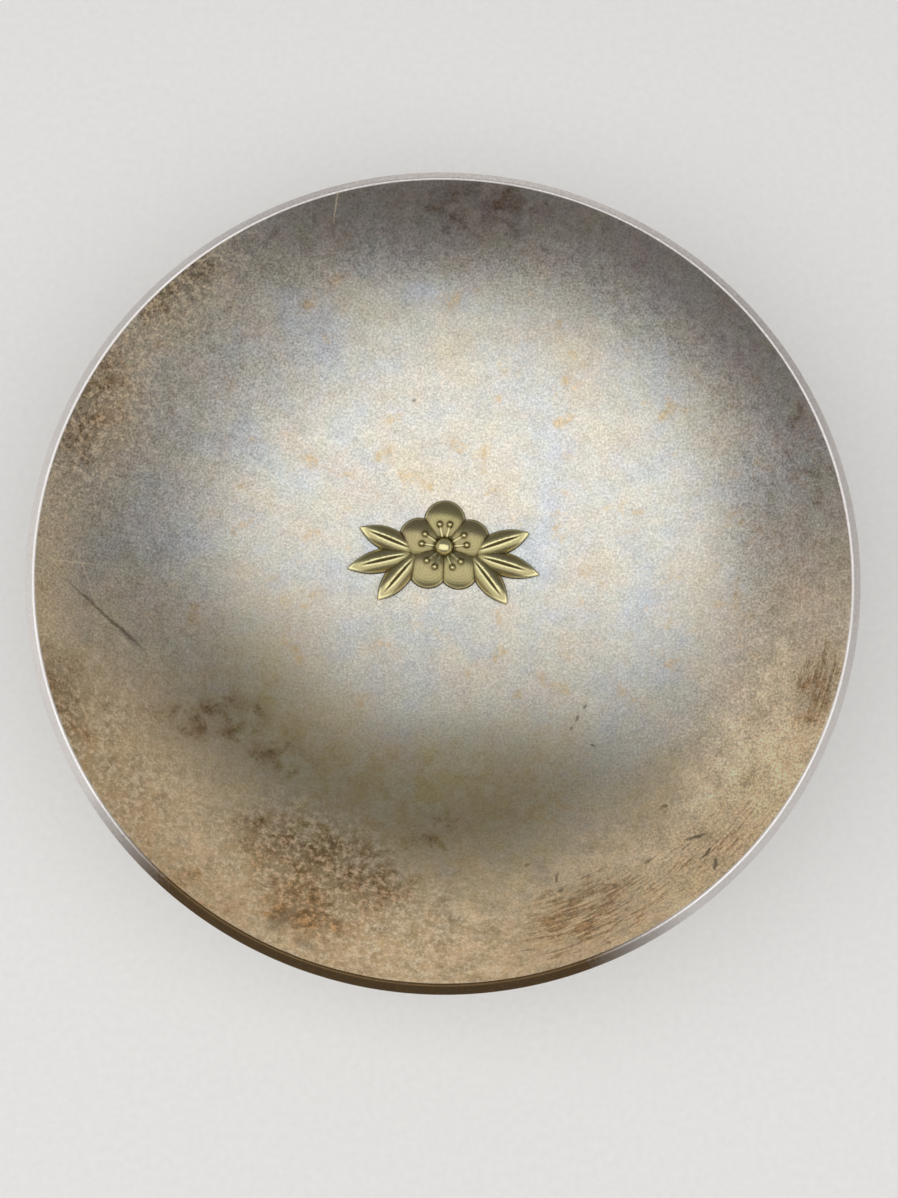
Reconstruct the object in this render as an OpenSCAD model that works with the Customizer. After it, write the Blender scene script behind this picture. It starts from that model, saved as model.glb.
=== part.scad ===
// Sakazuki: a shallow silver sake cup on a foot ring, with an ornament of plum blossom
// and bamboo leaves on its floor. Millimetres, +Z up.
// The origin lies on the table, under the middle of the foot ring.
// X runs along the ornament, and +Y is the way up of the ornament.

/* [Bowl] */
// Width across the lip
rim_d = 90; // [82:0.5:100]
// Height from the table to the top of the lip
cup_h = 27; // [25:0.5:30]
// Slope at which the dish of the floor passes into the wall, from level
dish_turn = 20; // [14:0.5:26]
// Radius of the wall above the dish
wall_r = 46; // [42:1:54]
// Outward tilt of the lip's face, from level
lip_tilt = 34; // [24:1:38]
// Thickness of the sheet in the dish
sheet_t = 0.9; // [0.7:0.05:1.1]
// Thickness of the lip
lip_t = 1.4; // [1.15:0.05:1.6]
// Rounding of both edges of the lip
lip_edge_r = 0.25; // [0.15:0.05:0.4]

/* [Foot ring] */
// Height of the bowl's lowest point over the table
foot_h = 6; // [5:0.25:7]
// Width across the foot ring at the table
foot_d = 38; // [36:0.5:40]
// Lean of the ring, wider at the table
foot_taper = 8; // [4:0.5:12]
// Thickness of the ring
foot_t = 1.2; // [1:0.05:1.5]
// Rounding of both edges that stand on the table
foot_edge_r = 0.3; // [0.15:0.05:0.4]

/* [Solder] */
// Thickness of the solder between two pieces
solder_t = 0.1; // [0.06:0.02:0.2]
// Radius of the hollow fillets beside the foot ring
fillet_r = 0.8; // [0.5:0.1:1]
// Depth to which the fillets bite into the faces beside them, which keeps their ends blunt
fillet_bite = 0.06; // [0.04:0.01:0.1]
// Solder left showing round the ornament
solder_margin = 0.12; // [0.06:0.02:0.2]

/* [Blossom] */
// Distance of the blossom's middle from the axis of the cup
blossom_y = 5.6; // [4:0.2:7]
// Radius of a petal
petal_r = 2.45; // [2.2:0.05:2.7]
// Distance of a petal's middle from the blossom's middle
petal_ring_r = 3.2; // [3:0.05:3.4]
// Height of a petal's middle over the floor
petal_h = 1.45; // [1.3:0.05:1.6]
// Height of a petal's edge over the floor
petal_edge_h = 0.8; // [0.7:0.05:0.9]
// Rounding of a petal's edge
petal_edge_r = 0.2; // [0.1:0.05:0.3]
// Radius of the boss in the blossom's middle
boss_r = 1.25; // [1.1:0.05:1.4]
// Height of the boss over the floor
boss_h = 1.75; // [1.6:0.05:1.9]
// Distance of the stamen tips from the blossom's middle
stamen_reach = 2.75; // [2.4:0.05:2.9]
// Angle of a stamen to its petal's middle line
stamen_angle = 13; // [11:1:15]
// Radius of a stamen tip
stamen_tip_r = 0.3; // [0.24:0.02:0.36]
// Radius of a stamen
stamen_r = 0.13; // [0.1:0.01:0.16]

/* [Leaves] */
// Sideways distance of the point where three leaves meet, from the axis of the cup
spray_x = 3.1; // [2.6:0.1:3.4]
// Distance of that point below the blossom's middle
spray_drop = 0.7; // [0.3:0.1:1.1]
// Length of the middle leaf
long_leaf = 9; // [8:0.1:9.6]
// Length of the two leaves beside it
side_leaf = 7.8; // [7:0.1:8.4]
// Angle by which the middle leaf hangs
leaf_droop = 16; // [10:1:20]
// Angle between two leaves
leaf_spread = 36; // [32:1:40]
// Width of a leaf
leaf_w = 2.8; // [2.4:0.05:3]
// Height of a leaf's crest over the floor
leaf_h = 1.2; // [1.1:0.05:1.3]
// Radius of a leaf's back, across
leaf_back_r = 1.9; // [1.75:0.05:2.4]
// Radius of a leaf's crest, along
leaf_crest_r = 22; // [18:1:30]
// Depth of the groove cut along the crest
groove_depth = 0.22; // [0.14:0.02:0.28]

/* [Hidden] */
$fn = 96;
arc_fn = 360;
edge_fn = 24;
petals = 5;
petal_step = 360 / petals;
quarter = 90;
silver = [0.80, 0.78, 0.73];
dull_silver = [0.66, 0.64, 0.60];
yellow_metal = [0.72, 0.58, 0.30];
grey_solder = [0.36, 0.34, 0.31];

// Bowl: a dish, and a tighter wall arc that leaves it at its turn and ends at the lip
floor_z = foot_h + sheet_t;
lip_run = [cos(lip_tilt), -sin(lip_tilt)];
lip_bite = 0.01;
lip_edge_in = lip_edge_r - lip_bite;
lip_flat = lip_t - 2 * lip_edge_in;
lip_edge_x = rim_d / 2 - lip_edge_r - lip_flat * lip_run[0];
lip_edge_c = [lip_edge_x, cup_h - lip_edge_r];
lip_in = lip_edge_c - lip_edge_in * lip_run;
lip_out = lip_in + lip_t * lip_run;

// How much wider than the wall the dish is, so that the wall ends at the lip
turn_run = [sin(dish_turn), 1 - cos(dish_turn)];
lip_rise = lip_in - [0, floor_z + wall_r];
turn_reach = lip_rise * turn_run;
lip_spare = lip_rise * lip_rise - wall_r * wall_r;
turn_square = turn_run * turn_run;
dish_spare = (turn_reach - sqrt(turn_reach * turn_reach - turn_square * lip_spare)) / turn_square;
dish_r = wall_r + dish_spare;
dish_out_r = dish_r + sheet_t;
dish_c = [0, floor_z + dish_r];

// Middle of the wall arc that ends at a lip point and all but touches a dish of radius k,
// out of which it stands by a hair so that the two arcs cross
wall_hair = 0.006;
function wall_middle(end, k) =
    let (v = end - dish_c)
    let (apart = k - wall_r + wall_hair)
    let (turn = acos((v * v + apart * apart - wall_r * wall_r) / (2 * norm(v) * apart)))
    let (way = atan2(v[0], -v[1]) - turn)
    dish_c + apart * [sin(way), -cos(way)];

wall_in_c = wall_middle(lip_in, dish_r);
wall_out_c = wall_middle(lip_out, dish_out_r);
wall_overlap = 4;
wide = 4 * dish_r;

// Slope, from level, of the dish at the place where a line from its middle to a point meets it
function slope_to(point) = atan2(point[0] - dish_c[0], dish_c[1] - point[1]);

// Foot ring: a strip that leans, trimmed by the bowl
foot_side = [cos(foot_taper), sin(foot_taper)];
foot_up = [-sin(foot_taper), cos(foot_taper)];
foot_out_c = [foot_d / 2 - foot_edge_r, foot_edge_r];
foot_core_t = foot_t - 2 * foot_edge_r;
foot_in_c = foot_out_c - [foot_core_t / foot_side[0], 0];
foot_out_face = foot_out_c + foot_edge_r * foot_side;
foot_in_face = foot_in_c - foot_edge_r * foot_side;
foot_strip = 2 * foot_h;

// Solder: middle of the hollow fillet on one side of the foot ring
fillet_gap = fillet_r - fillet_bite;
fillet_reach = dish_out_r + fillet_gap;
function fillet_c(face, way) =
    let (p = face + way * fillet_gap * foot_side)
    let (q = p - dish_c)
    let (along = q * foot_up)
    p - (along + sqrt(along * along - q * q + fillet_reach * fillet_reach)) * foot_up;

fillet_out_c = fillet_c(foot_out_face, 1);
fillet_in_c = fillet_c(foot_in_face, -1);
braze_top = fillet_out_c[1] + 3 * fillet_r;

// Ornament
sole_h = 2 * petal_edge_h;
spray_y = blossom_y - spray_drop;
leaf_mid_r = leaf_crest_r - leaf_back_r;
stamen_root = boss_r / 2;

// Ball whose cap rises from an edge height to a middle height over a radius
function cap_radius(r, rise) = (r * r + rise * rise) / (2 * rise);

petal_ball_r = cap_radius(petal_r, petal_h - petal_edge_h);
petal_ball_z = petal_h - petal_ball_r;
boss_ball_r = cap_radius(boss_r, boss_h - petal_edge_h);
boss_ball_z = boss_h - boss_ball_r;

// Height of a petal's face at a distance from the petal's middle
function petal_face(d) = petal_ball_z + sqrt(petal_ball_r * petal_ball_r - d * d);

// Band along the line from the dish's middle to its turn, from one distance outward of it to another
module along_turn(turn, from, to) {
    translate(dish_c)
        rotate(turn)
            translate([from, -wide])
                square([to - from, 2 * wide]);
}

// All that lies inside a dish, its wall and the gap round both, in the half plane that is turned
module dish(k, wall_c, gap) {
    turn = slope_to(wall_c);
    intersection() {
        union() {
            intersection() {
                translate(dish_c)
                    circle(k + gap, $fn = arc_fn);
                along_turn(turn, -wide, 0);
            }
            intersection() {
                translate(wall_c)
                    circle(wall_r + gap, $fn = arc_fn);
                along_turn(turn, -wall_overlap, wide);
            }
        }
        square([rim_d, wide]);
    }
}

// The bowl's outer form, grown by a gap
module dish_outside(gap = 0) {
    dish(dish_out_r, wall_out_c, gap);
}

// All that lies below the lip, with both of its edges rounded
module below_lip() {
    translate(lip_edge_c)
        rotate(-lip_tilt) {
            translate([-rim_d, -2 * rim_d])
                square(2 * rim_d);
            square([lip_flat, lip_edge_r]);
            for (x = [0, lip_flat])
                translate([x, 0])
                    circle(lip_edge_r, $fn = edge_fn);
        }
}

module bowl() {
    color(silver)
        rotate_extrude()
            intersection() {
                difference() {
                    dish_outside();
                    dish(dish_r, wall_in_c, 0);
                }
                below_lip();
            }
}

module foot_section() {
    difference() {
        union() {
            translate(foot_out_c)
                circle(foot_edge_r, $fn = edge_fn);
            translate(foot_in_c)
                circle(foot_edge_r, $fn = edge_fn);
            translate([foot_in_c[0], 0])
                square([foot_out_c[0] - foot_in_c[0], foot_edge_r]);
            polygon([
                foot_out_c,
                foot_out_face,
                foot_out_face + foot_strip * foot_up,
                foot_in_face + foot_strip * foot_up,
                foot_in_face,
                foot_in_c
            ]);
        }
        dish_outside(solder_t);
    }
}

module foot_ring() {
    color(silver)
        rotate_extrude()
            foot_section();
}

module foot_braze() {
    color(dull_silver)
        rotate_extrude()
            difference() {
                polygon([
                    [fillet_out_c[0], braze_top],
                    fillet_out_c,
                    fillet_in_c,
                    [fillet_in_c[0], braze_top]
                ]);
                dish_outside();
                foot_section();
                translate(fillet_out_c)
                    circle(fillet_r, $fn = arc_fn);
                translate(fillet_in_c)
                    circle(fillet_r, $fn = arc_fn);
            }
}

// A round pad with a domed face and a soft edge
module pad(r, ball_r, ball_z) {
    edge_x = r - petal_edge_r;
    edge_reach = ball_r - petal_edge_r;
    edge_z = ball_z + sqrt(edge_reach * edge_reach - edge_x * edge_x);
    rotate_extrude()
        intersection() {
            union() {
                translate([0, ball_z])
                    intersection() {
                        circle(ball_r);
                        polygon([[0, 0], 2 * [edge_x, edge_z - ball_z], [0, 2 * ball_r]]);
                    }
                translate([edge_x, edge_z])
                    circle(petal_edge_r, $fn = edge_fn);
                square([r, edge_z]);
            }
            square([r, ball_r + edge_z]);
        }
}

// A stamen with its round tip, lying on a petal along X
module stamen() {
    d = sqrt(stamen_reach * stamen_reach + petal_ring_r * petal_ring_r
        - 2 * stamen_reach * petal_ring_r * cos(stamen_angle));
    tip_z = petal_face(d);
    run = [stamen_reach - stamen_root, tip_z - petal_edge_h];
    translate([stamen_reach, 0, tip_z])
        sphere(stamen_tip_r, $fn = edge_fn);
    translate([stamen_root, 0, petal_edge_h])
        rotate([0, quarter - atan2(run[1], run[0]), 0])
            cylinder(norm(run), stamen_r, stamen_r, $fn = edge_fn);
}

module blossom() {
    pad(boss_r, boss_ball_r, boss_ball_z);
    for (i = [0 : petals - 1])
        rotate(quarter + i * petal_step) {
            translate([petal_ring_r, 0])
                pad(petal_r, petal_ball_r, petal_ball_z);
            for (way = [-1, 1])
                rotate(way * stamen_angle)
                    stamen();
        }
}

// Leaf outline from its root along X, two arcs that meet in points
module leaf_outline(length, width) {
    arc_r = (length * length + width * width) / (4 * width);
    intersection() {
        translate([length / 2, arc_r - width / 2])
            circle(arc_r);
        translate([length / 2, width / 2 - arc_r])
            circle(arc_r);
    }
}

module leaf(length) {
    difference() {
        intersection() {
            linear_extrude(leaf_h)
                leaf_outline(length, leaf_w);
            translate([length / 2, 0, leaf_h - leaf_crest_r])
                rotate([quarter, 0, 0])
                    rotate_extrude()
                        translate([leaf_mid_r, 0])
                            circle(leaf_back_r);
        }
        translate([0, 0, leaf_h - groove_depth])
            rotate([quarter / 2, 0, 0])
                cube([length, leaf_h, leaf_h]);
    }
}

// The hollow ball of which the dish is a part, grown by a gap
module dish_ball(gap = 0) {
    translate([0, 0, dish_c[1]])
        sphere(dish_r + gap, $fn = arc_fn);
}

// Sets what stands on the XY plane on the dish, over a point of the plan
module on_dish(point) {
    way = atan2(point[1], point[0]);
    translate([0, 0, dish_c[1]])
        rotate(way)
            rotate([0, -asin(norm(point) / dish_r), 0])
                rotate(-way)
                    translate([0, 0, -dish_r])
                        children();
}

// Sets a leaf of a length on the dish, at an angle from its root
module leaf_place(length, angle) {
    on_dish([spray_x, spray_y] + length / 2 * [cos(angle), sin(angle)])
        rotate(angle)
            translate([-length / 2, 0])
                children();
}

// Sets out the blossom, the long leaves and the side leaves
module arrange() {
    on_dish([0, blossom_y])
        children(0);
    for (side = [0, 1])
        mirror([side, 0, 0]) {
            leaf_place(long_leaf, -leaf_droop)
                children(1);
            for (way = [-1, 1])
                leaf_place(side_leaf, way * leaf_spread - leaf_droop)
                    children(2);
        }
}

module ornament() {
    color(yellow_metal)
        intersection() {
            arrange() {
                blossom();
                leaf(long_leaf);
                leaf(side_leaf);
            }
            dish_ball(-solder_t);
        }
}

// A leaf's sole of solder, before it is trimmed
module leaf_sole(length) {
    linear_extrude(sole_h, center = true)
        leaf_outline(length, leaf_w + 2 * solder_margin);
}

module blossom_sole() {
    linear_extrude(sole_h, center = true) {
        circle(boss_r);
        for (i = [0 : petals - 1])
            rotate(quarter + i * petal_step)
                translate([petal_ring_r, 0])
                    circle(petal_r + solder_margin);
    }
}

module ornament_solder() {
    color(grey_solder)
        intersection() {
            arrange() {
                blossom_sole();
                leaf_sole(long_leaf);
                leaf_sole(side_leaf);
            }
            difference() {
                dish_ball();
                dish_ball(-solder_t);
            }
        }
}

bowl();
foot_ring();
foot_braze();
ornament();
ornament_solder();
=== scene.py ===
import math

import bmesh
import bpy
from mathutils import Matrix, Vector


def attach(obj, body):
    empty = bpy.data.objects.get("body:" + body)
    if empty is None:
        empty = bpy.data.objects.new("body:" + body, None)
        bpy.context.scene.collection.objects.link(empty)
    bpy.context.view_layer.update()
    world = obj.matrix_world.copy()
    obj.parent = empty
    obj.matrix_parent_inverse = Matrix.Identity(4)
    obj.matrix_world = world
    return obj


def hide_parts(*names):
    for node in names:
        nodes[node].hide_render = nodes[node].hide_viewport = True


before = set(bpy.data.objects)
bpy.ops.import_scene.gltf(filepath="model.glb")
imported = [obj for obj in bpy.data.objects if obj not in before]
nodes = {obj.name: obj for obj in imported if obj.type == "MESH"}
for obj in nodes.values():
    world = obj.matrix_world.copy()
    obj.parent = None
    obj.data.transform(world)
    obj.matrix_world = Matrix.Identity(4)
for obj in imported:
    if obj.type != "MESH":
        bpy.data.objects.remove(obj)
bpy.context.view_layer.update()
scene = bpy.context.scene
mm = 0.001
fullTurn = 2 * math.pi
print("frame loaded:", ", ".join(sorted(nodes)))

# settings that many nodes share; a colour Mix takes its factor, base and top at inputs 0, 6 and 7
# and gives its result at output 2
colourMix = {"data_type": "RGBA"}
multiplyMix = {"data_type": "RGBA", "blend_type": "MULTIPLY"}
contrastMix = {"data_type": "RGBA", "blend_type": "LINEAR_LIGHT"}
overlayMix = {"data_type": "RGBA", "blend_type": "OVERLAY"}
softStep = {"interpolation_type": "SMOOTHSTEP"}
spanKeys = ("From Min", "From Max", "To Min", "To Max")


def spansOf(look):
    # the ranges of a look, as settings for its Map Range nodes
    return {name: dict(zip(spanKeys, values)) for name, values in look["spans"].items()}


def linear(hexColour):
    # sRGB to linear
    parts = [int(hexColour[i:i + 2], 16) / 255 for i in (1, 3, 5)]
    return [c / 12.92 if c <= 0.04045 else ((c + 0.055) / 1.055) ** 2.4 for c in parts] + [1]


def add(tree, kind, inputs=None, stops=None, **settings):
    # one node with its settings; an input that is a socket is linked, any other value is set
    node = tree.nodes.new(kind)
    for name, value in settings.items():
        setattr(node, name, value)
    for key, value in (inputs or {}).items():
        if isinstance(value, bpy.types.NodeSocket):
            tree.links.new(value, node.inputs[key])
        else:
            node.inputs[key].default_value = value
    for i, (place, colour) in enumerate(stops or []):
        ramp = node.color_ramp.elements
        stop = ramp[i] if i < 2 else ramp.new(place)
        stop.position, stop.color = place, linear(colour)
    return node


def newMaterial(name):
    material = bpy.data.materials.new(name)
    material.use_nodes = True
    tree = material.node_tree
    tree.nodes.clear()
    place = add(tree, "ShaderNodeTexCoord").outputs["Object"]
    inMm = add(tree, "ShaderNodeMapping", {"Vector": place, "Scale": (1 / mm,) * 3})
    return material, tree, inMm.outputs["Vector"]  # patterns read millimetres


def finishMetal(tree, colour, roughness, height, depth):
    # the metal itself: colour and roughness from the pattern, relief of a depth in millimetres
    bump = add(tree, "ShaderNodeBump", {"Height": height, "Strength": 1, "Distance": depth * mm})
    metal = add(tree, "ShaderNodeBsdfPrincipled", {
        "Base Color": colour, "Metallic": 1, "Roughness": roughness, "Normal": bump.outputs["Normal"]})
    add(tree, "ShaderNodeOutputMaterial", {"Surface": metal.outputs["BSDF"]})


def pieceFrom(bm, name, node, materials):
    mesh = bpy.data.meshes.new(name)
    bm.to_mesh(mesh)
    bm.free()
    for material in materials:
        mesh.materials.append(material)
    mesh.polygons.foreach_set("use_smooth", [True] * len(mesh.polygons))
    piece = bpy.data.objects.new(name, mesh)
    scene.collection.objects.link(piece)
    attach(piece, "root")
    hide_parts(node)
    print("made", name, "with", len(mesh.polygons), "faces")


# camera: almost straight down into the cup, turned a little as the picture is
cameraSet = {
    "place": (-2.109, -27.173, 169.335),  # mm
    "right": (0.99931, 0.02953, 0.0227),
    "up": (-0.03279, 0.98656, 0.16008),
    "lens": 40.57, "longSide": 36,  # mm
    "nearest": 0.001,  # m
}
cameraData = bpy.data.cameras.new("cupCamera")
cameraData.lens, cameraData.sensor_width = cameraSet["lens"], cameraSet["longSide"]
cameraData.clip_start = cameraSet["nearest"]
camera = bpy.data.objects.new("cupCamera", cameraData)
right, up = Vector(cameraSet["right"]), Vector(cameraSet["up"])
turn = Matrix((right, up, right.cross(up))).transposed().to_4x4()
camera.matrix_world = Matrix.Translation(Vector(cameraSet["place"]) * mm) @ turn
scene.collection.objects.link(camera)
scene.camera = camera

# light: one wide soft box behind the viewer's head, two long low cards and a dim even room
lightSet = {
    # wide, deep and distance (m), way from the cup, turn about that way and spread (degrees), power (W)
    "lamps": {
        "softBox": (1.36, 0.58, 0.5, (-0.105, -0.20, 1), 22, 180, 3.12),
        "backCard": (1.6, 0.17, 0.88, (0.12, 1, 0.145), 0, 100, 0.42),
        "sideCard": (1.4, 0.15, 0.9, (-1, 0.15, 0.14), 0, 90, 0.08),
    },
    "roomColour": "#f4f6fa", "roomStrength": 0.32,
}
for name, (wide, deep, away, way, turnBy, spread, power) in lightSet["lamps"].items():
    lampData = bpy.data.lights.new(name, "AREA")
    lampData.shape, lampData.size, lampData.size_y = "RECTANGLE", wide, deep
    lampData.spread, lampData.energy = math.radians(spread), power
    lamp = bpy.data.objects.new(name, lampData)
    way = Vector(way).normalized()
    lamp.matrix_world = (Matrix.Translation(way * away) @ way.to_track_quat("Z", "Y").to_matrix().to_4x4()
                         @ Matrix.Rotation(math.radians(turnBy), 4, "Z"))
    lamp.visible_camera = False
    scene.collection.objects.link(lamp)
world = bpy.data.worlds.new("room")
world.use_nodes = True
scene.world = world
room = world.node_tree.nodes["Background"]
room.inputs["Color"].default_value = linear(lightSet["roomColour"])
room.inputs["Strength"].default_value = lightSet["roomStrength"]
scene.view_settings.view_transform = "Standard"
print("camera and light set")

# stage: a pale paper floor that curves up into a low backdrop all round
stageSet = {
    "flat": 0.75, "cove": 0.25, "wall": 0.15,  # m
    "segments": 96, "steps": 8,
    "fibre": 0.9,  # mm
    "tones": [(0.3, "#efedea"), (0.7, "#f3f1ee")], "roughness": 0.95, "gloss": 0.1,
}
material, tree, inMm = newMaterial("matt white paper")
# matt paper scatters all light and shows only a trace of fibre
fibre = add(tree, "ShaderNodeTexNoise", {"Vector": inMm, "Scale": 1 / stageSet["fibre"], "Detail": 3})
tone = add(tree, "ShaderNodeValToRGB", {"Fac": fibre.outputs["Fac"]}, stageSet["tones"])
paper = add(tree, "ShaderNodeBsdfPrincipled", {
    "Base Color": tone.outputs["Color"], "Roughness": stageSet["roughness"],
    "Specular IOR Level": stageSet["gloss"]})
add(tree, "ShaderNodeOutputMaterial", {"Surface": paper.outputs["BSDF"]})
bm = bmesh.new()
bmesh.ops.create_circle(bm, cap_ends=True, segments=stageSet["segments"], radius=stageSet["flat"])
coveEdge = [e for e in bm.edges if e.is_boundary]
bends = [math.radians(90 * step / stageSet["steps"]) for step in range(stageSet["steps"] + 1)]
backdrop = [(stageSet["flat"] + stageSet["cove"] * math.sin(bend), stageSet["cove"] * (1 - math.cos(bend)))
            for bend in bends]
backdrop.append((backdrop[-1][0], backdrop[-1][1] + stageSet["wall"]))
for (reach, height), (nextReach, nextHeight) in zip(backdrop, backdrop[1:]):
    made = bmesh.ops.extrude_edge_only(bm, edges=coveEdge)["geom"]
    ring = [g for g in made if isinstance(g, bmesh.types.BMVert)]
    coveEdge = [g for g in made if isinstance(g, bmesh.types.BMEdge)]
    bmesh.ops.scale(bm, vec=(nextReach / reach, nextReach / reach, 1), verts=ring)
    bmesh.ops.translate(bm, vec=(0, 0, nextHeight - height), verts=ring)
bmesh.ops.recalc_face_normals(bm, faces=bm.faces)
mesh = bpy.data.meshes.new("paperFloor")
bm.to_mesh(mesh)
bm.free()
mesh.polygons.foreach_set("use_smooth", [True] * len(mesh.polygons))
mesh.materials.append(material)
floor = bpy.data.objects.new("paperFloor", mesh)
scene.collection.objects.link(floor)
print("stage set")

# turned pieces: a section of arcs and straight runs in the XZ plane, spun about the cup's axis
mergeGap = 0.004  # mm, for the doubles that a spin leaves


def arc(bm, vert, centre, degrees, steps):
    # carries a vertex round a centre in the section plane, and returns the vertex it ends on
    made = bmesh.ops.spin(bm, geom=[vert], cent=(centre[0], 0, centre[1]), axis=(0, 1, 0),
                          angle=math.radians(degrees), steps=steps, use_duplicate=False)
    return next(g for g in made["geom_last"] if isinstance(g, bmesh.types.BMVert))


def run(bm, vert, end, steps):
    # a straight stretch of the section in equal steps
    away = (Vector((end[0], 0, end[1])) - vert.co) / steps
    for _ in range(steps):
        vert = bmesh.ops.extrude_vert_indiv(bm, verts=[vert])["verts"][0]
        bmesh.ops.translate(bm, vec=away, verts=[vert])
    return vert


def turned(bm, turns):
    # the section becomes a closed skin, in metres
    bmesh.ops.remove_doubles(bm, verts=bm.verts, dist=mergeGap)
    bmesh.ops.spin(bm, geom=list(bm.verts) + list(bm.edges), cent=(0, 0, 0), axis=(0, 0, 1), angle=fullTurn,
                   steps=turns, use_merge=True)
    bmesh.ops.remove_doubles(bm, verts=bm.verts, dist=mergeGap)
    bmesh.ops.recalc_face_normals(bm, faces=bm.faces)
    bmesh.ops.scale(bm, vec=(mm,) * 3, verts=bm.verts)


def slope(centre, point):
    # degrees from straight down, as seen from the centre of an arc
    return math.degrees(math.atan2(point[0] - centre[0], centre[1] - point[1]))


# bowl: one spun sheet, a dish that passes into a tighter wall with a thick cut lip
bowlSet = {
    "rimR": 45, "height": 27, "floorZ": 6.9, "dishR": 65.555, "wallR": 46, "sheet": 0.9,  # mm
    "lipTilt": 34, "lipWide": 1.4, "lipRound": 0.25,  # degrees, mm
    "turns": 360, "dishSteps": 28, "wallSteps": 34, "edgeSteps": 8, "lipSteps": 4,
    # soft washes of tarnish and painted light and shade: tint, middle of the sector and half its spread
    # (degrees), the radii (mm) at which it starts and is full, and its strength
    "washes": [
        # gold: straw tarnish with painted light on the near side; olive: tarnish with a painted dark
        # reflection low in the bowl
        ("gold", 275, 102, 27, 42.5, 1.0), ("olive", 248, 82, 12, 26, 0.88),
        # umber: tarnish with painted shade at the far rim and the sides
        ("umber", 72, 84, 32, 43.5, 0.95), ("umber", 5, 56, 29, 39, 0.66), ("umber", 165, 75, 20, 35, 0.44),
        # lip: painted shade along the lip's near side
        ("lip", 261, 62.5, 40, 43, 1.0),
    ],
    "washEdge": 50,  # degrees over which a wash fades at the ends of its sector
    # single soft stains: tint, place, half length and half width (mm), turn (degrees), strength
    # olive and umber stains add painted shade and gold stains add painted light, as their washes do
    "stains": [
        # olive stains: tarnish with painted dark reflection low in the bowl; the umber stain: painted shade
        # at the far rim
        ("olive", 4, -22, 24, 8, 0, 0.5), ("olive", -27, -17, 9, 5.5, 8, 0.6),
        ("olive", 24, -24, 10, 4, 45, 0.65), ("umber", -2, 40, 16, 5, 0, 0.5),
        # gold stains on the left rim: painted light that brightens it
        ("gold", -43, -3, 3.5, 16, 0, 0.4), ("gold", -38.5, 18, 4.5, 13, -25, 0.3),
        ("brown", -18.5, -29.5, 6, 4, -25, 0.6), ("brown", -10.5, -32.5, 7, 4.5, -20, 0.6),
        ("brown", -4.5, -34.5, 5, 3.5, 0, 0.5), ("brown", -16, -36, 6, 3.5, -30, 0.6),
        ("brown", -12, -38.5, 5, 3, -15, 0.5), ("brown", -13, -33, 17, 9, -25, 0.4),
        ("brown", -27, -17, 10, 5.5, 8, 0.55), ("brown", -18, -21, 7, 4, -20, 0.45),
        ("brown", 0, -28.5, 5, 4, 30, 0.55), ("brown", -41, -15, 4, 8, 20, 0.75),
        ("brown", -34, -26, 4, 10, 40, 0.4), ("brown", -25, -35, 9, 3, -38, 0.5),
        ("brown", 16, -36.5, 12, 5, 25, 0.7), ("brown", 30, -29, 9, 4, 42, 0.42),
        ("brown", 24, -27, 5, 3, 30, 0.45), ("brown", 40.5, -12, 3, 7, -15, 0.85),
        ("brown", 40, -24, 4, 8, -30, 0.2), ("brown", 40, 14, 4, 10, 20, 0.5),
        ("brown", -40.5, 16, 5.5, 13, -22, 0.75), ("brown", -31, 31, 11, 4, 44, 0.6),
        ("brown", -42, -1, 5, 8, 0, 0.4), ("brown", 2, 41.5, 14, 4, 0, 0.6),
        ("speck", -13, -36, 19, 10, -28, 0.9), ("speck", -36, -24, 9, 21, 38, 0.9),
        ("speck", -40, 15, 7, 17, -22, 0.55), ("speck", -31, 31, 13, 6, 44, 0.5),
        ("speck", 0, -41, 20, 8, 0, 0.75), ("speck", 26, -35, 18, 7, 36, 0.2),
        ("rub", 41, -4, 6, 13, 0, 0.8), ("rub", 33, -28, 18, 8, 42, 0.9), ("rub", 16, -38, 12, 6, 22, 1),
    ],
    "stainReach": 1.2,  # a stain ends at this share of its half length and half width
}


def smooth(t):
    t = min(1, max(0, t))
    return t * t * (3 - 2 * t)


def tarnishAndLightAt(x, y):
    # how much of each tint lies at a place inside the bowl: tarnish, with painted light in the gold and
    # painted shade in the olive, umber and lip tints
    amount = {"gold": 0, "olive": 0, "umber": 0, "lip": 0, "brown": 0, "speck": 0, "rub": 0}
    reach, angle = math.hypot(x, y), math.degrees(math.atan2(y, x))
    for tint, middle, half, start, full, strength in bowlSet["washes"]:
        off = abs((angle - middle + 180) % 360 - 180)
        part = strength * smooth((half - off) / bowlSet["washEdge"])
        amount[tint] = max(amount[tint], part * smooth((reach - start) / (full - start)))
    for tint, atX, atY, halfLong, halfWide, turnBy, strength in bowlSet["stains"]:
        away = Matrix.Rotation(-math.radians(turnBy), 2) @ Vector((x - atX, y - atY))
        part = strength * smooth(bowlSet["stainReach"] - math.hypot(away.x / halfLong, away.y / halfWide))
        amount[tint] = 1 - (1 - amount[tint]) * (1 - part)
    return amount


def wallCentre(end, dish, dishR):
    # middle of the wall arc that runs smoothly from the dish to the lip, and the slope where it starts
    reach, apart = math.dist(end, dish), dishR - bowlSet["wallR"]
    opening = math.acos((reach ** 2 + apart ** 2 - bowlSet["wallR"] ** 2) / (2 * reach * apart))
    way = math.radians(slope(dish, end)) - opening
    return dish[0] + apart * math.sin(way), dish[1] - apart * math.cos(way), math.degrees(way)
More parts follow.
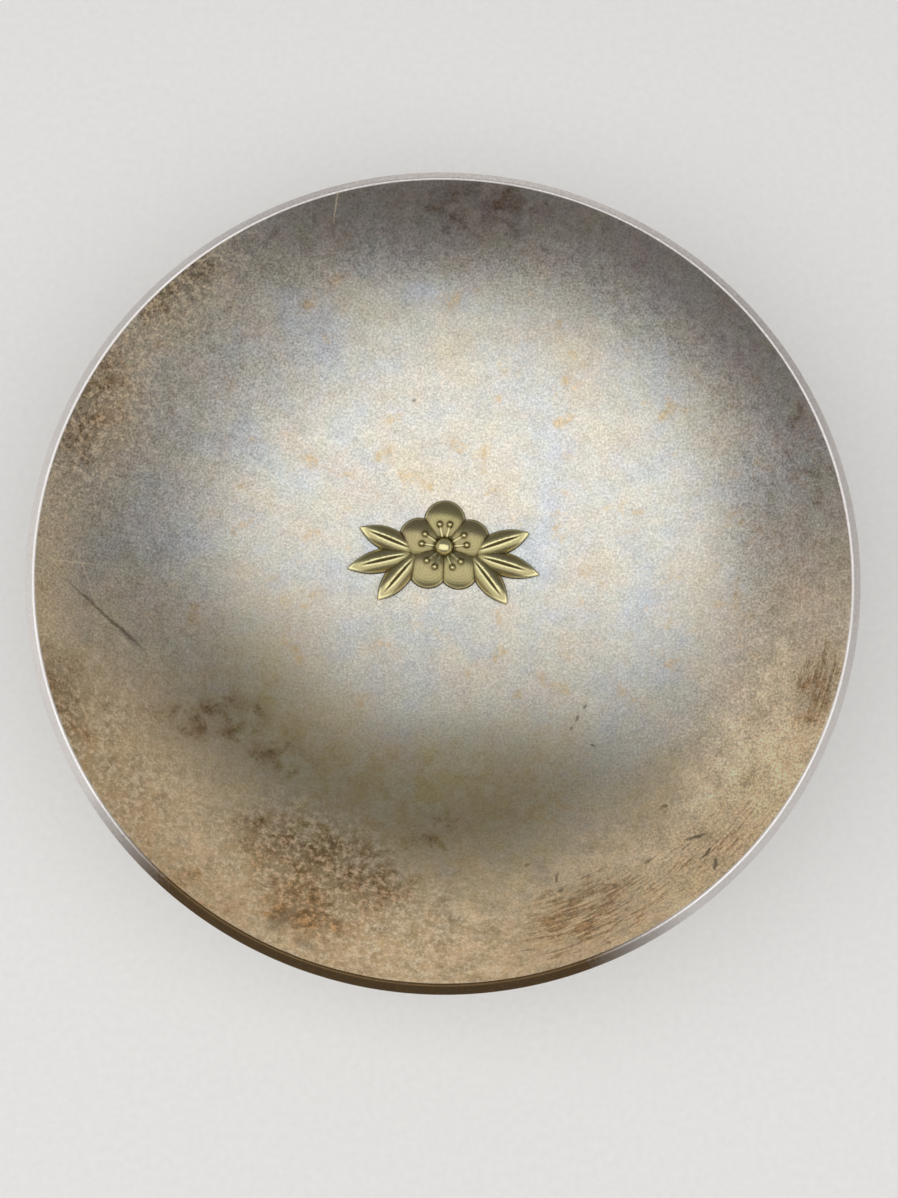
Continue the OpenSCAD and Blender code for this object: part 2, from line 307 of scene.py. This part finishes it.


# satin silver, blasted and long in use: a soft grey sheen that tarnish turns straw, olive and brown,
# with painted light in the straw and painted shade in the olive and umber
silverSet = {
    "tones": [(0.34, "#c3c6c8"), (0.46, "#cac8c0"), (0.55, "#cec8bb"), (0.68, "#cfc6b2")],
    # gold: straw tarnish brightened as painted light; olive: tarnish darkened as a painted dark reflection;
    # umber: tarnish greyed as painted shade
    "warm": "#d5be93", "freckle": "#b39a6b", "gold": "#f8e1be", "olive": "#a49674", "umber": "#87827f",
    "browns": [(0.35, "#857a68"), (0.5, "#a8937a"), (0.65, "#c8af94")], "dirt": "#e4ddd2",
    "speck": "#feedd0", "crumb": "#eaba80", "scratch": "#594b39",
    # size (mm), detail, roughness and distortion of each noise; the blasted grain is drawn a little
    # coarser than it is, so that it shows
    "noises": {
        "cloud": (9, 7, 0.66, 0), "warmth": (4, 6, 0.68, 0), "mottle": (2.4, 5, 0.6, 0.4),
        "blotch": (1.3, 6, 0.85, 0), "fleck": (0.7, 5, 0.72, 0), "grain": (0.25, 2, 0.5, 0),
    },
    "wipeLong": 4, "wipeWide": 0.3, "wipeSlant": 0.03,  # mm, radians
    "grainDepth": 0.008,  # mm
    # what becomes of a value: from, to, what it gives at each
    "spans": {
        "warm": (0.57, 0.72, 0, 0.7), "freckle": (0.58, 0.67, 0, 0.25), "uneven": (0.25, 0.75, 0.65, 1.35),
        "broken": (0.3, 0.7, 0, 1), "quiet": (0.5, 0.95, 1, 0.45), "mottled": (0, 0.7, 0.03, 0.15),
        "tone": (0.25, 0.75, 0.7, 1.3), "toned": (0, 0.7, 0.3, 1),
        "streak": (0.3, 0.7, -0.7, 0.7), "patch": (1.55, 2.3, 0, 0.9), "held": (0, 0.25, 0, 1),
        "fleck": (0.52, 0.7, 0, 0.82), "sparkle": (0.3, 0.7, 0.77, 1.23), "calm": (0, 1, 1, 0.4),
        "lively": (0, 0.6, 0.7, 1), "mark": (1.3, 0.4, 0, 1), "dull": (0, 1, 0.46, 0.53),
    },
    # how much one pattern adds to another
    "shares": {"film": 0.035, "clump": 1.8, "crumble": 0.7, "flake": 0.15, "wiped": 0.2, "grain": 0.14},
    # single marks: place, turn (degrees), half length and half width (mm), tint, strength
    "marks": [
        (-37.6, -5.9, -41, 5.6, 0.16, "scratch", 0.55), (-35.4, -7.9, -44, 2.4, 0.3, "scratch", 0.35),
        (-41, -0.6, 4, 2.4, 0.12, "speck", 0.4), (-39.5, -2.2, -70, 3, 0.1, "speck", 0.25),
        (17.2, -13.6, 55, 0.4, 0.18, "scratch", 0.6), (16.2, -15, 60, 0.5, 0.2, "scratch", 0.6),
        (15.6, -16.2, 70, 0.4, 0.18, "scratch", 0.6), (18, -18.3, 10, 0.3, 0.2, "scratch", 0.6),
        (27.9, -28.3, 24, 1.1, 0.16, "scratch", 0.75), (28.6, -30, 50, 0.9, 0.16, "scratch", 0.7),
        (29.2, -31, 80, 0.6, 0.2, "scratch", 0.7), (23, -31, 20, 0.7, 0.18, "scratch", 0.5),
        (13.4, -33.2, 75, 0.7, 0.2, "scratch", 0.6), (13.7, -34.4, 40, 0.4, 0.22, "scratch", 0.6),
        (25.4, -25, 10, 0.3, 0.2, "scratch", 0.6), (10.2, -32, 30, 0.4, 0.16, "scratch", 0.5),
        (-4.3, 22.9, 40, 0.3, 0.22, "scratch", 0.6), (8.2, 25.9, 0, 0.75, 0.65, "scratch", 0.12),
        (8.2, 25.9, 0, 0.4, 0.32, "speck", 0.3), (-13.6, 41, 80, 1.8, 0.12, "speck", 0.35),
        (-16.3, -38.2, 30, 1.7, 0.9, "scratch", 0.4), (-13.4, -40.4, -20, 1.3, 0.5, "scratch", 0.35),
    ],
    "markDrift": 0.9, "markDeep": 1000,  # mm; so deep that height plays no part in a mark
}
material, tree, inMm = newMaterial("satin silver, tarnished, painted light and shade")
span, share = spansOf(silverSet), silverSet["shares"]
noise = {}
for name, (size, detail, roughness, distortion) in silverSet["noises"].items():
    noise[name] = add(tree, "ShaderNodeTexNoise", {"Vector": inMm, "Scale": 1 / size, "Detail": detail,
                                                   "Roughness": roughness, "Distortion": distortion})
cloud, warmth, mottle, blotch, fleck, grain = (node.outputs["Fac"] for node in noise.values())
tints = []
for layer in ("wash", "stain"):
    painted = add(tree, "ShaderNodeAttribute", attribute_name=layer).outputs["Color"]
    tints += add(tree, "ShaderNodeSeparateColor", {"Color": painted}).outputs
gold, olive, umber, brown, speck, rub = tints
# blue and cream films on the clean metal, with rusty clouds a few millimetres wide and freckles in them
shade = add(tree, "ShaderNodeValToRGB", {"Fac": cloud}, silverSet["tones"]).outputs["Color"]
for tint in ("warm", "freckle"):
    mask = add(tree, "ShaderNodeMapRange", {"Value": warmth, **span[tint]}, **softStep).outputs[0]
    shade = add(tree, "ShaderNodeMix", {0: mask, 6: shade, 7: linear(silverSet[tint])},
                **colourMix).outputs[2]
# then the washes over them: olive and umber are tarnish with painted shade and come out uneven, gold is
# tarnish with painted light
uneven = add(tree, "ShaderNodeMapRange", {"Value": mottle, **span["uneven"]}).outputs[0]
for tint, amount, factor in (("olive", olive, uneven), ("umber", umber, uneven), ("gold", gold, 1)):
    mask = add(tree, "ShaderNodeMath", {0: amount, 1: factor}, operation="MULTIPLY",
               use_clamp=True).outputs[0]
    shade = add(tree, "ShaderNodeMix", {0: mask, 6: shade, 7: linear(silverSet[tint])},
                **colourMix).outputs[2]
shade = add(tree, "ShaderNodeMix", {0: share["film"], 6: shade, 7: noise["warmth"].outputs["Color"]},
            **contrastMix).outputs[2]
# mottling is faint on the clean metal and grows with the tarnish and the painted light and shade of the
# washes
stainedAndLit = add(tree, "ShaderNodeMath", {0: gold, 1: umber}, operation="MAXIMUM").outputs[0]
stainedAndLit = add(tree, "ShaderNodeMath", {0: stainedAndLit, 1: speck}, operation="MAXIMUM").outputs[0]
broken = add(tree, "ShaderNodeMapRange", {"Value": blotch, **span["broken"]}).outputs[0]
quiet = add(tree, "ShaderNodeMapRange", {"Value": umber, **span["quiet"]}).outputs[0]
mottled = add(tree, "ShaderNodeMapRange", {"Value": stainedAndLit, **span["mottled"]}).outputs[0]
mottled = add(tree, "ShaderNodeMath", {0: mottled, 1: quiet}, operation="MULTIPLY").outputs[0]
shade = add(tree, "ShaderNodeMix", {0: mottled, 6: shade, 7: broken}, **contrastMix).outputs[2]
tone = add(tree, "ShaderNodeMapRange", {"Value": mottle, **span["tone"]}).outputs[0]
toned = add(tree, "ShaderNodeMapRange", {"Value": stainedAndLit, **span["toned"]}).outputs[0]
shade = add(tree, "ShaderNodeMix", {0: toned, 6: shade, 7: tone}, **multiplyMix).outputs[2]
# wiping lines run round the cup: they are drawn on the angle and the distance from the axis
axes = add(tree, "ShaderNodeSeparateXYZ", {"Vector": inMm}).outputs
around = add(tree, "ShaderNodeMath", {0: axes["Y"], 1: axes["X"]}, operation="ARCTAN2").outputs[0]
outward = add(tree, "ShaderNodeCombineXYZ", {"X": axes["X"], "Y": axes["Y"]}).outputs[0]
outward = add(tree, "ShaderNodeVectorMath", {0: outward}, operation="LENGTH").outputs["Value"]
unrolled = add(tree, "ShaderNodeCombineXYZ", {"X": around, "Y": outward}).outputs[0]
wiped = add(tree, "ShaderNodeMapping", {
    "Vector": unrolled, "Rotation": (0, 0, silverSet["wipeSlant"]),
    "Scale": (bowlSet["rimR"] / silverSet["wipeLong"], 1 / silverSet["wipeWide"], 1)}).outputs[0]
lines = add(tree, "ShaderNodeTexNoise", {"Vector": wiped, "Scale": 1, "Detail": 3, "Roughness": 0.65,
                                         "Distortion": 0.3}).outputs["Fac"]
# brown patches: clumps that break up into crumbs of darker and redder brown
patch = add(tree, "ShaderNodeMath", {0: mottle, 1: share["clump"], 2: brown},
            operation="MULTIPLY_ADD").outputs[0]
patch = add(tree, "ShaderNodeMath", {0: broken, 1: share["crumble"], 2: patch},
            operation="MULTIPLY_ADD").outputs[0]
streak = add(tree, "ShaderNodeMapRange", {"Value": lines, **span["streak"]}).outputs[0]
patch = add(tree, "ShaderNodeMath", {0: streak, 1: rub, 2: patch}, operation="MULTIPLY_ADD").outputs[0]
patch = add(tree, "ShaderNodeMapRange", {"Value": patch, **span["patch"]}, **softStep).outputs[0]
held = add(tree, "ShaderNodeMapRange", {"Value": brown, **span["held"]}).outputs[0]
patch = add(tree, "ShaderNodeMath", {0: patch, 1: held}, operation="MULTIPLY").outputs[0]
browns = add(tree, "ShaderNodeValToRGB", {"Fac": fleck}, silverSet["browns"]).outputs["Color"]
shade = add(tree, "ShaderNodeMix", {0: patch, 6: shade, 7: browns}, **multiplyMix).outputs[2]
# dirt, with bright flecks where it has come off, orange ones where a patch lies on the straw
shade = add(tree, "ShaderNodeMix", {0: speck, 6: shade, 7: linear(silverSet["dirt"])},
            **multiplyMix).outputs[2]
mask = add(tree, "ShaderNodeMath", {0: broken, 1: share["flake"], 2: fleck},
           operation="MULTIPLY_ADD").outputs[0]
mask = add(tree, "ShaderNodeMapRange", {"Value": mask, **span["fleck"]}, **softStep).outputs[0]
mask = add(tree, "ShaderNodeMath", {0: mask, 1: speck}, operation="MULTIPLY").outputs[0]
orange = add(tree, "ShaderNodeMath", {0: patch, 1: gold}, operation="MULTIPLY").outputs[0]
flake = add(tree, "ShaderNodeMix", {
    0: orange, 6: linear(silverSet["speck"]), 7: linear(silverSet["crumb"])}, **colourMix).outputs[2]
shade = add(tree, "ShaderNodeMix", {0: mask, 6: shade, 7: flake}, **colourMix).outputs[2]
# the wiping lines again, paler, over the whole
mask = add(tree, "ShaderNodeMath", {0: rub, 1: share["wiped"]}, operation="MULTIPLY").outputs[0]
shade = add(tree, "ShaderNodeMix", {0: mask, 6: shade, 7: lines}, **contrastMix).outputs[2]
# the blasted grain is everywhere, stronger on the tarnish and painted light, and weaker under the smooth
# olive and umber washes of tarnish and painted shade
sparkle = add(tree, "ShaderNodeMapRange", {"Value": grain, **span["sparkle"]}).outputs[0]
calm = add(tree, "ShaderNodeMapRange", {"Value": olive, **span["calm"]}).outputs[0]
lively = add(tree, "ShaderNodeMapRange", {"Value": stainedAndLit, **span["lively"]}).outputs[0]
calm = add(tree, "ShaderNodeMath", {0: calm, 1: lively}, operation="MULTIPLY").outputs[0]
calm = add(tree, "ShaderNodeMath", {0: calm, 1: quiet}, operation="MULTIPLY").outputs[0]
shade = add(tree, "ShaderNodeMix", {0: calm, 6: shade, 7: sparkle}, **multiplyMix).outputs[2]
mask = add(tree, "ShaderNodeMath", {0: calm, 1: share["grain"]}, operation="MULTIPLY").outputs[0]
shade = add(tree, "ShaderNodeMix", {0: mask, 6: shade, 7: grain}, clamp_result=True,
            **contrastMix).outputs[2]
# single scratches and spots, with uneven edges
drift = add(tree, "ShaderNodeVectorMath", {0: noise["mottle"].outputs["Color"], 1: (0.5, 0.5, 0.5)},
            operation="SUBTRACT").outputs[0]
drift = add(tree, "ShaderNodeVectorMath",
            {0: drift, 1: (silverSet["markDrift"], silverSet["markDrift"], 0), 2: inMm},
            operation="MULTIPLY_ADD").outputs[0]
for atX, atY, turnBy, halfLong, halfWide, tint, strength in silverSet["marks"]:
    onMark = add(tree, "ShaderNodeMapping", {
        "Vector": drift, "Location": (atX, atY, 0), "Rotation": (0, 0, math.radians(turnBy)),
        "Scale": (halfLong, halfWide, silverSet["markDeep"])}, vector_type="TEXTURE").outputs[0]
    far = add(tree, "ShaderNodeVectorMath", {0: onMark}, operation="LENGTH").outputs["Value"]
    mask = add(tree, "ShaderNodeMapRange", {"Value": far, **span["mark"], "To Max": strength},
               **softStep).outputs[0]
    shade = add(tree, "ShaderNodeMix", {0: mask, 6: shade, 7: linear(silverSet[tint])},
                **colourMix).outputs[2]
dull = add(tree, "ShaderNodeMapRange", {"Value": stainedAndLit, **span["dull"]}).outputs[0]
finishMetal(tree, shade, dull, grain, silverSet["grainDepth"])
insideSilver = material

# bright cut lip: filed flat and polished by use, with painted shade on it: grey where the umber wash lies
# and a dark brown band along part of the straw
lipSet = {
    # film: grey painted shade; brown: painted shade on the lip's near side
    "silver": "#ede8e4", "film": "#ccc5c1", "brown": "#645036",
    "speckle": 0.35, "hairLong": 5, "hairWide": 0.12, "cutDepth": 0.004,  # mm
    "speckled": 0.5,
    "spans": {
        "uneven": (0.25, 0.75, 0.9, 1.2), "nearLipShade": (0.25, 0.75, 0, 1), "film": (0.45, 1, 0, 0.9),
        "polish": (0.3, 0.7, 0.42, 0.56),
    },
}
material, tree, inMm = newMaterial("bright cut silver, painted shade")
span = spansOf(lipSet)
axes = add(tree, "ShaderNodeSeparateXYZ", {"Vector": inMm}).outputs
around = add(tree, "ShaderNodeMath", {0: axes["Y"], 1: axes["X"]}, operation="ARCTAN2").outputs[0]
unrolled = add(tree, "ShaderNodeCombineXYZ", {"X": around, "Y": axes["Z"]}).outputs[0]
cut = add(tree, "ShaderNodeMapping", {
    "Vector": unrolled,
    "Scale": (bowlSet["rimR"] / lipSet["hairLong"], 1 / lipSet["hairWide"], 1)}).outputs[0]
hairline = add(tree, "ShaderNodeTexNoise", {"Vector": cut, "Scale": 1, "Detail": 2}).outputs["Fac"]
speckle = add(tree, "ShaderNodeTexNoise", {"Vector": inMm, "Scale": 1 / lipSet["speckle"],
                                           "Detail": 3}).outputs["Fac"]
# painted shade on the lip: grey where the umber wash lies, and a dark brown band on its near side
painted = add(tree, "ShaderNodeAttribute", attribute_name="wash").outputs["Color"]
umber = add(tree, "ShaderNodeSeparateColor", {"Color": painted}).outputs["Blue"]
uneven = add(tree, "ShaderNodeMapRange", {"Value": speckle, **span["uneven"]}).outputs[0]
nearLipShade = add(tree, "ShaderNodeAttribute", attribute_name="lipPaintedShade").outputs["Fac"]
nearLipShade = add(tree, "ShaderNodeMapRange", {"Value": nearLipShade, **span["nearLipShade"]}).outputs[0]
mask = add(tree, "ShaderNodeMath", {0: nearLipShade, 1: uneven}, operation="MULTIPLY", use_clamp=True).outputs[0]
film = add(tree, "ShaderNodeMapRange", {"Value": umber, **span["film"]}).outputs[0]
shade = add(tree, "ShaderNodeMix", {0: film, 6: linear(lipSet["silver"]), 7: linear(lipSet["film"])},
            **colourMix).outputs[2]
shade = add(tree, "ShaderNodeMix", {0: mask, 6: shade, 7: linear(lipSet["brown"])}, **colourMix).outputs[2]
shade = add(tree, "ShaderNodeMix", {0: lipSet["speckled"], 6: shade, 7: speckle}, **overlayMix).outputs[2]
polish = add(tree, "ShaderNodeMapRange", {"Value": hairline, **span["polish"]}).outputs[0]
finishMetal(tree, shade, polish, hairline, lipSet["cutDepth"])
lipSilver = material

# what the plain metal finishes share; their film lies in patches smaller than the clouds
plainSet = {
    "filmsToCloud": 3,
    "grainDepth": 0.006,  # mm
    "spans": {"film": (0.5, 0.75, 0, 0.6), "sparkle": (0.3, 0.7, 0.84, 1.16), "dull": (0.3, 0.7, 0, 1)},
}


def plainSilver(name, look):
    # satin silver of the faces that hands and table touch, with a thin warm film and a little grey
    material, tree, inMm = newMaterial(name)
    span = spansOf(plainSet)
    cloud = add(tree, "ShaderNodeTexNoise", {"Vector": inMm, "Scale": 1 / look["cloud"], "Detail": 7,
                                             "Roughness": 0.62}).outputs["Fac"]
    film = add(tree, "ShaderNodeTexNoise", {
        "Vector": inMm, "Scale": plainSet["filmsToCloud"] / look["cloud"], "Detail": 6,
        "Roughness": 0.7}).outputs["Fac"]
    grain = add(tree, "ShaderNodeTexNoise", {"Vector": inMm, "Scale": 1 / look["grain"],
                                             "Detail": 2}).outputs["Fac"]
    shade = add(tree, "ShaderNodeValToRGB", {"Fac": cloud}, look["tones"]).outputs["Color"]
    mask = add(tree, "ShaderNodeMapRange", {"Value": film, **span["film"]}, **softStep).outputs[0]
    shade = add(tree, "ShaderNodeMix", {0: mask, 6: shade, 7: linear(look["film"])}, **colourMix).outputs[2]
    sparkle = add(tree, "ShaderNodeMapRange", {"Value": grain, **span["sparkle"]}).outputs[0]
    shade = add(tree, "ShaderNodeMix", {0: 1, 6: shade, 7: sparkle}, clamp_result=True,
                **multiplyMix).outputs[2]
    dull = add(tree, "ShaderNodeMapRange", {"Value": cloud, **span["dull"], "To Min": look["dull"],
                                            "To Max": look["bright"]}).outputs[0]
    finishMetal(tree, shade, dull, grain, plainSet["grainDepth"])
    return material


outsideLook = {
    "cloud": 11, "grain": 0.32,  # mm
    "dull": 0.52, "bright": 0.42, "film": "#b9a684",
    "tones": [(0.3, "#a5a09a"), (0.45, "#bcb9b2"), (0.6, "#cbc8c0")],
}

tilt, edge = math.radians(bowlSet["lipTilt"]), bowlSet["lipRound"]
lipWay = (math.cos(tilt), -math.sin(tilt))  # the lip's flat falls outward
lipFlat = bowlSet["lipWide"] - 2 * edge
innerEdge = (bowlSet["rimR"] - edge - lipFlat * lipWay[0], bowlSet["height"] - edge)
outerEdge = (innerEdge[0] + lipFlat * lipWay[0], innerEdge[1] + lipFlat * lipWay[1])
lipIn = (innerEdge[0] - edge * lipWay[0], innerEdge[1] - edge * lipWay[1])
lipOut = (outerEdge[0] + edge * lipWay[0], outerEdge[1] + edge * lipWay[1])
dish = (0, bowlSet["floorZ"] + bowlSet["dishR"])
*wallIn, turnIn = wallCentre(lipIn, dish, bowlSet["dishR"])
*wallOut, turnOut = wallCentre(lipOut, dish, bowlSet["dishR"] + bowlSet["sheet"])

bm = bmesh.new()
tip = bm.verts.new((0, 0, bowlSet["floorZ"]))
tip = arc(bm, tip, dish, -turnIn, bowlSet["dishSteps"])
tip = arc(bm, tip, wallIn, turnIn - slope(wallIn, lipIn), bowlSet["wallSteps"])
tip = arc(bm, tip, innerEdge, 90, bowlSet["edgeSteps"])
flatEnd = (outerEdge[0] - edge * lipWay[1], outerEdge[1] + edge * lipWay[0])
tip = run(bm, tip, flatEnd, bowlSet["lipSteps"])
tip = arc(bm, tip, outerEdge, 90, bowlSet["edgeSteps"])
tip = arc(bm, tip, wallOut, slope(wallOut, lipOut) - turnOut, bowlSet["wallSteps"])
arc(bm, tip, dish, turnOut, bowlSet["dishSteps"])
turned(bm, bowlSet["turns"])
washLayer = bm.verts.layers.float_color.new("wash")
stainLayer = bm.verts.layers.float_color.new("stain")
# the lip's near-side painted shade, stored on each vertex
lipShadeLayer = bm.verts.layers.float.new("lipPaintedShade")
for vert in bm.verts:
    amount = tarnishAndLightAt(vert.co.x / mm, vert.co.y / mm)
    vert[lipShadeLayer] = amount["lip"]
    vert[washLayer] = (amount["gold"], amount["olive"], amount["umber"], 1)
    vert[stainLayer] = (amount["brown"], amount["speck"], amount["rub"], 1)
for face in bm.faces:
    spot = face.calc_center_median() / mm
    outBy, upBy = math.hypot(spot.x, spot.y) - innerEdge[0], spot.z - innerEdge[1]
    onLip = -outBy * lipWay[1] + upBy * lipWay[0] > 0
    face.material_index = 1 if onLip else 0 if face.normal.z > 0 else 2  # lip, inside, outside
pieceFrom(bm, "bowl_skin", "bowl",
          [insideSilver, lipSilver, plainSilver("satin silver, outside", outsideLook)])

# foot: a leaning strip closed to a ring, and the braze that holds it
footSet = {
    "d": 38, "thick": 1.2, "round": 0.3, "film": 0.1, "fillet": 0.8, "bite": 0.06,  # mm
    "taper": 8,  # degrees
    "turns": 240, "faceSteps": 12, "edgeSteps": 8, "baseSteps": 2, "topSteps": 4,
    "rootSteps": 8, "filmSteps": 3,
}
footLook = {
    "cloud": 6, "grain": 0.3,  # mm
    "dull": 0.5, "bright": 0.38, "film": "#b5a280",
    "tones": [(0.3, "#a29d95"), (0.45, "#bab6ae"), (0.6, "#cdcac2")],
}
lean, edge = math.radians(footSet["taper"]), footSet["round"]
footSide, footUp = Vector((math.cos(lean), math.sin(lean))), Vector((-math.sin(lean), math.cos(lean)))
footOut = Vector((footSet["d"] / 2 - edge, edge))
footIn = footOut - Vector(((footSet["thick"] - 2 * edge) / footSide.x, 0))
outFace, inFace = footOut + edge * footSide, footIn - edge * footSide
dishC, dishOut = Vector(dish), bowlSet["dishR"] + bowlSet["sheet"]


def upTo(start, reach):
    # where a line along the ring's lean meets the ball of that radius round the dish's middle
    away = start - dishC
    along = away.dot(footUp)
    return start + footUp * (-along - math.sqrt(along ** 2 - away.length_squared + reach ** 2))


outTop, inTop = (upTo(face, dishOut + footSet["film"]) for face in (outFace, inFace))
bm = bmesh.new()
tip = bm.verts.new((inTop.x, 0, inTop.y))
tip = run(bm, tip, inFace, footSet["faceSteps"])
tip = arc(bm, tip, footIn, footSet["taper"] - 90, footSet["edgeSteps"])
tip = run(bm, tip, (footOut.x, 0), footSet["baseSteps"])
tip = arc(bm, tip, footOut, -90 - footSet["taper"], footSet["edgeSteps"])
tip = run(bm, tip, outTop, footSet["faceSteps"])
arc(bm, tip, dish, slope(dish, outTop) - slope(dish, inTop), footSet["topSteps"])
turned(bm, footSet["turns"])
pieceFrom(bm, "foot_skin", "foot_ring", [plainSilver("satin silver foot", footLook)])

# braze: the film on top of the ring and a hollow fillet on each side
brazeLook = {
    "cloud": 2.5, "grain": 0.22,  # mm
    "dull": 0.6, "bright": 0.42, "film": "#8d8068",
    "tones": [(0.3, "#6f6553"), (0.45, "#9a9384"), (0.65, "#b9b4a8")],
}
fillet, gap = footSet["fillet"], footSet["fillet"] - footSet["bite"]
faceOff = math.degrees(math.acos(gap / fillet))
reach = dishOut + gap
dishOff = math.degrees(math.acos((reach ** 2 + fillet ** 2 - dishOut ** 2) / (2 * reach * fillet)))
filletOut, filletIn = upTo(outFace + gap * footSide, reach), upTo(inFace - gap * footSide, reach)
outStart, outEnd = 180 + footSet["taper"] - faceOff, 90 + slope(dish, filletOut) + dishOff
inStart, inEnd = 90 + slope(dish, filletIn) - dishOff, footSet["taper"] + faceOff
firstWay = Vector((math.cos(math.radians(outStart)), math.sin(math.radians(outStart))))
first = filletOut + fillet * firstWay
inRoot = filletIn + fillet * Vector((math.cos(math.radians(inStart)), math.sin(math.radians(inStart))))
bm = bmesh.new()
tip = bm.verts.new((first.x, 0, first.y))
tip = arc(bm, tip, filletOut, outStart - outEnd, footSet["edgeSteps"])
tip = arc(bm, tip, dish, slope(dish, (tip.co.x, tip.co.z)) - slope(dish, inRoot), footSet["rootSteps"])
tip = arc(bm, tip, filletIn, inStart - inEnd, footSet["edgeSteps"])
tip = run(bm, tip, inTop, footSet["filmSteps"])
tip = arc(bm, tip, dish, slope(dish, inTop) - slope(dish, outTop), footSet["topSteps"])
run(bm, tip, first, footSet["filmSteps"])
turned(bm, footSet["turns"])
pieceFrom(bm, "braze_skin", "foot_braze", [plainSilver("run silver braze", brazeLook)])

# ornament: the struck plate, with edges softened as a die leaves them
ornamentSet = {
    "voxel": 0.072, "hollowDepth": 0.05,  # mm
    "soften": 3, "hollowPasses": 24, "pull": 0.5,
    "weld": 1e-7,  # m
}
brassSet = {
    "dark": "#544a2d", "brass": "#948c62", "worn": "#d2ca9a", "rosy": "#908262",
    "cloud": 3.5, "grain": 0.16, "grainDepth": 0.003,  # mm
    "grained": 0.3,
    "spans": {
        "rosy": (0.4, 0.65, 0, 1), "deep": (0.55, 0.95, 0, 1), "proud": (0.42, 0.1, 0, 1),
        "polish": (0.2, 0.8, 0.2, 0.42),
    },
}
material, tree, inMm = newMaterial("struck brass")
span = spansOf(brassSet)
# brass struck in a die and hand rubbed: olive gold faces, bright edges, dark film and painted shade in the
# hollows
cloud = add(tree, "ShaderNodeTexNoise", {"Vector": inMm, "Scale": 1 / brassSet["cloud"], "Detail": 5,
                                         "Roughness": 0.6}).outputs["Fac"]
grain = add(tree, "ShaderNodeTexNoise", {"Vector": inMm, "Scale": 1 / brassSet["grain"],
                                         "Detail": 2}).outputs["Fac"]
hollow = add(tree, "ShaderNodeAttribute", attribute_name="hollow").outputs["Fac"]
rosy = add(tree, "ShaderNodeMapRange", {"Value": cloud, **span["rosy"]}).outputs[0]
shade = add(tree, "ShaderNodeMix", {0: rosy, 6: linear(brassSet["brass"]), 7: linear(brassSet["rosy"])},
            **colourMix).outputs[2]
shade = add(tree, "ShaderNodeMix", {0: brassSet["grained"], 6: shade, 7: grain}, **overlayMix).outputs[2]
# the hollows darkened as film and painted shade, the proud edges worn bright
for place, tint in (("deep", "dark"), ("proud", "worn")):
    mask = add(tree, "ShaderNodeMapRange", {"Value": hollow, **span[place]}).outputs[0]
    shade = add(tree, "ShaderNodeMix", {0: mask, 6: shade, 7: linear(brassSet[tint])},
                **colourMix).outputs[2]
polish = add(tree, "ShaderNodeMapRange", {"Value": hollow, **span["polish"]}).outputs[0]
finishMetal(tree, shade, polish, grain, brassSet["grainDepth"])

bm = bmesh.new()
bm.from_mesh(nodes["ornament"].data)
bmesh.ops.remove_doubles(bm, verts=bm.verts, dist=ornamentSet["weld"])
bmesh.ops.scale(bm, vec=(1 / mm,) * 3, verts=bm.verts)  # in millimetres, as voxels this small need
blankMesh = bpy.data.meshes.new("reliefBlank")
bm.to_mesh(blankMesh)
bm.free()
blank = bpy.data.objects.new("reliefBlank", blankMesh)
scene.collection.objects.link(blank)
remesh = blank.modifiers.new("voxels", "REMESH")
remesh.mode, remesh.voxel_size = "VOXEL", ornamentSet["voxel"]
solid = bpy.data.meshes.new_from_object(blank.evaluated_get(bpy.context.evaluated_depsgraph_get()))
bm = bmesh.new()
bm.from_mesh(solid)
bpy.data.objects.remove(blank)
bpy.data.meshes.remove(blankMesh)
bpy.data.meshes.remove(solid)
soften = {"factor": ornamentSet["pull"], "use_axis_x": True, "use_axis_y": True, "use_axis_z": True}
for _ in range(ornamentSet["soften"]):
    bmesh.ops.smooth_vert(bm, verts=bm.verts, **soften)
bm.normal_update()
# hollows and ridges: how far a much softer copy of the surface stands off
soft = bm.copy()
for _ in range(ornamentSet["hollowPasses"]):
    bmesh.ops.smooth_vert(soft, verts=soft.verts, **soften)
hollowLayer = bm.verts.layers.float.new("hollow")
for vert, softVert in zip(bm.verts, soft.verts):
    off = vert.normal.dot(softVert.co - vert.co)
    vert[hollowLayer] = min(1, max(0, 0.5 + off / ornamentSet["hollowDepth"]))  # flat faces lie at 0.5
soft.free()
bmesh.ops.scale(bm, vec=(mm,) * 3, verts=bm.verts)
pieceFrom(bm, "ornament_relief", "ornament", [material])

# solder: a dull dark line round the plate, dark as solder and as painted contact shadow at the plate's edge
solderAndShadowLook = {
    "cloud": 1.2, "grain": 0.15,  # mm
    "dull": 0.7, "bright": 0.5, "film": "#4d463b",
    "tones": [(0.3, "#3b352c"), (0.45, "#5b554b"), (0.65, "#77716a")],
}
nodes["ornament_solder"].data.materials.clear()
nodes["ornament_solder"].data.materials.append(plainSilver("dull solder, darkened as contact shadow", solderAndShadowLook))
print("solder dressed")
